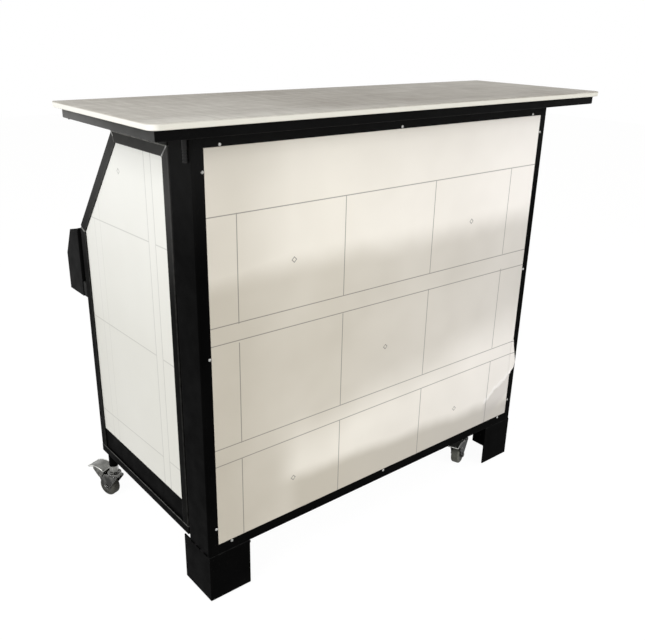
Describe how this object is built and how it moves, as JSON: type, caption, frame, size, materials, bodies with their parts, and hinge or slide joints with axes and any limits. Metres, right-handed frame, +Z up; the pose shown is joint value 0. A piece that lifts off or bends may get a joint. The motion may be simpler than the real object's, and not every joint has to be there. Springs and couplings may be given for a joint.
{
  "type": "mobile bar unit",
  "caption": "Mobile bar: black steel frame, white infill panels, sloped side wings, lift-off overhanging counter, rear speed rail, plate legs and braked swivel casters.",
  "frame": {"origin": "centre of the footprint on the floor, under the middle of the unit's overall box", "axes": "+X along the front from left to right, +Y from the front panel to the server's side, +Z up"},
  "size_m": [1.306, 0.75, 1.1],
  "materials": {
    "frame_black": "satin powder coat",
    "counter_black": "satin powder coat",
    "kick_black": "satin powder coat",
    "rail_black": "satin powder coat",
    "panel_white": "opal acrylic under clear film",
    "slab_white": "gloss under clear film",
    "shelf_white": "matt laminate",
    "screw_zinc": "bright zinc",
    "bolt_zinc": "painted with the post",
    "caster_zinc": "bright zinc",
    "hub_grey": "moulded",
    "tyre_grey": "matt",
    "pad_rubber": "matt"
  },
  "bodies": {
    "frame": {"front_left_post": "frame_black", "front_right_post": "frame_black", "front_top_rail": "frame_black", "front_bottom_rail": "frame_black", "front_panel": "panel_white", "panel_stops": "frame_black", "panel_screws": "screw_zinc", "left_leg": "frame_black", "right_leg": "frame_black", "left_wing_front_stile": "frame_black", "left_wing_top_rail": "frame_black", "left_wing_slant": "frame_black", "left_wing_rear_stile": "frame_black", "left_wing_base_rail": "frame_black", "left_wing_panel": "panel_white", "left_kick_plate": "kick_black", "right_wing_front_stile": "frame_black", "right_wing_top_rail": "frame_black", "right_wing_slant": "frame_black", "right_wing_rear_stile": "frame_black", "right_wing_base_rail": "frame_black", "right_wing_panel": "panel_white", "right_kick_plate": "kick_black", "wing_beads": "frame_black", "wing_spacers": "frame_black", "counter_risers": "pad_rubber", "bolt_barrels": "bolt_zinc", "work_shelf": "shelf_white", "lower_shelf": "shelf_white", "shelf_angles": "frame_black", "rear_tie_bar": "frame_black", "caster_sockets": "frame_black"},
    "counter": {"counter_slab": "slab_white", "counter_front_tube": "counter_black", "counter_rear_tube": "counter_black", "counter_side_tubes": "counter_black", "counter_cross_bars": "counter_black", "bolt_keepers": "counter_black"},
    "left_bolt_body": {"left_bolt": "bolt_zinc"},
    "right_bolt_body": {"right_bolt": "bolt_zinc"},
    "speed_rail": {"rail_trough": "rail_black", "rail_ends": "rail_black", "rail_hooks": "rail_black", "rail_pads": "pad_rubber"},
    "front_left_fork": {"fl_fork": "caster_zinc"},
    "front_left_wheel": {"fl_hub": "hub_grey", "fl_tyre": "tyre_grey"},
    "front_left_pedal": {"fl_pedal": "caster_zinc"},
    "front_right_fork": {"fr_fork": "caster_zinc"},
    "front_right_wheel": {"fr_hub": "hub_grey", "fr_tyre": "tyre_grey"},
    "front_right_pedal": {"fr_pedal": "caster_zinc"},
    "rear_left_fork": {"rl_fork": "caster_zinc"},
    "rear_left_wheel": {"rl_hub": "hub_grey", "rl_tyre": "tyre_grey"},
    "rear_left_pedal": {"rl_pedal": "caster_zinc"},
    "rear_right_fork": {"rr_fork": "caster_zinc"},
    "rear_right_wheel": {"rr_hub": "hub_grey", "rr_tyre": "tyre_grey"},
    "rear_right_pedal": {"rr_pedal": "caster_zinc"}
  },
  "joints": [
    {"name": "counter_lift", "type": "slide", "parent": "frame", "child": "counter", "axis": [0, 0, 1], "range_m": [0, 0.25]},
    {"name": "speed_rail_lift", "type": "slide", "parent": "frame", "child": "speed_rail", "axis": [0, 0, 1], "range_m": [0, 0.35]},
    {"name": "left_bolt_slide", "type": "slide", "parent": "frame", "child": "left_bolt_body", "axis": [0, 0, 1], "range_m": [-0.02, 0]},
    {"name": "right_bolt_slide", "type": "slide", "parent": "frame", "child": "right_bolt_body", "axis": [0, 0, 1], "range_m": [-0.02, 0]},
    {"name": "front_left_swivel", "type": "hinge", "parent": "frame", "child": "front_left_fork", "pos_m": [-0.405, -0.225, 0.1], "axis": [0, 0, 1], "range_deg": [-190, 65]},
    {"name": "front_left_wheel_spin", "type": "hinge", "parent": "front_left_fork", "child": "front_left_wheel", "pos_m": [-0.4143, -0.20506, 0.028], "axis": [-0.9063, -0.4226, 0], "continuous": true},
    {"name": "front_left_brake", "type": "hinge", "parent": "front_left_fork", "child": "front_left_pedal", "pos_m": [-0.42106, -0.19056, 0.062], "axis": [-0.9063, -0.4226, 0], "range_deg": [0, 30]},
    {"name": "front_right_swivel", "type": "hinge", "parent": "frame", "child": "front_right_fork", "pos_m": [0.405, -0.225, 0.1], "axis": [0, 0, 1], "range_deg": [-200, 60]},
    {"name": "front_right_wheel_spin", "type": "hinge", "parent": "front_right_fork", "child": "front_right_wheel", "pos_m": [0.38433, -0.23252, 0.028], "axis": [0.342, -0.9397, 0], "continuous": true},
    {"name": "front_right_brake", "type": "hinge", "parent": "front_right_fork", "child": "front_right_pedal", "pos_m": [0.36929, -0.238, 0.062], "axis": [0.342, -0.9397, 0], "range_deg": [0, 30]},
    {"name": "rear_left_swivel", "type": "hinge", "parent": "frame", "child": "rear_left_fork", "pos_m": [-0.5205, 0.238, 0.1], "axis": [0, 0, 1], "continuous": true},
    {"name": "rear_left_wheel_spin", "type": "hinge", "parent": "rear_left_fork", "child": "rear_left_wheel", "pos_m": [-0.52802, 0.25867, 0.028], "axis": [-0.9397, -0.342, 0], "continuous": true},
    {"name": "rear_left_brake", "type": "hinge", "parent": "rear_left_fork", "child": "rear_left_pedal", "pos_m": [-0.5335, 0.27371, 0.062], "axis": [-0.9397, -0.342, 0], "range_deg": [0, 30]},
    {"name": "rear_right_swivel", "type": "hinge", "parent": "frame", "child": "rear_right_fork", "pos_m": [0.5205, 0.238, 0.1], "axis": [0, 0, 1], "continuous": true},
    {"name": "rear_right_wheel_spin", "type": "hinge", "parent": "rear_right_fork", "child": "rear_right_wheel", "pos_m": [0.52802, 0.25867, 0.028], "axis": [-0.9397, 0.342, 0], "continuous": true},
    {"name": "rear_right_brake", "type": "hinge", "parent": "rear_right_fork", "child": "rear_right_pedal", "pos_m": [0.5335, 0.27371, 0.062], "axis": [-0.9397, 0.342, 0], "range_deg": [0, 30]}
  ]
}
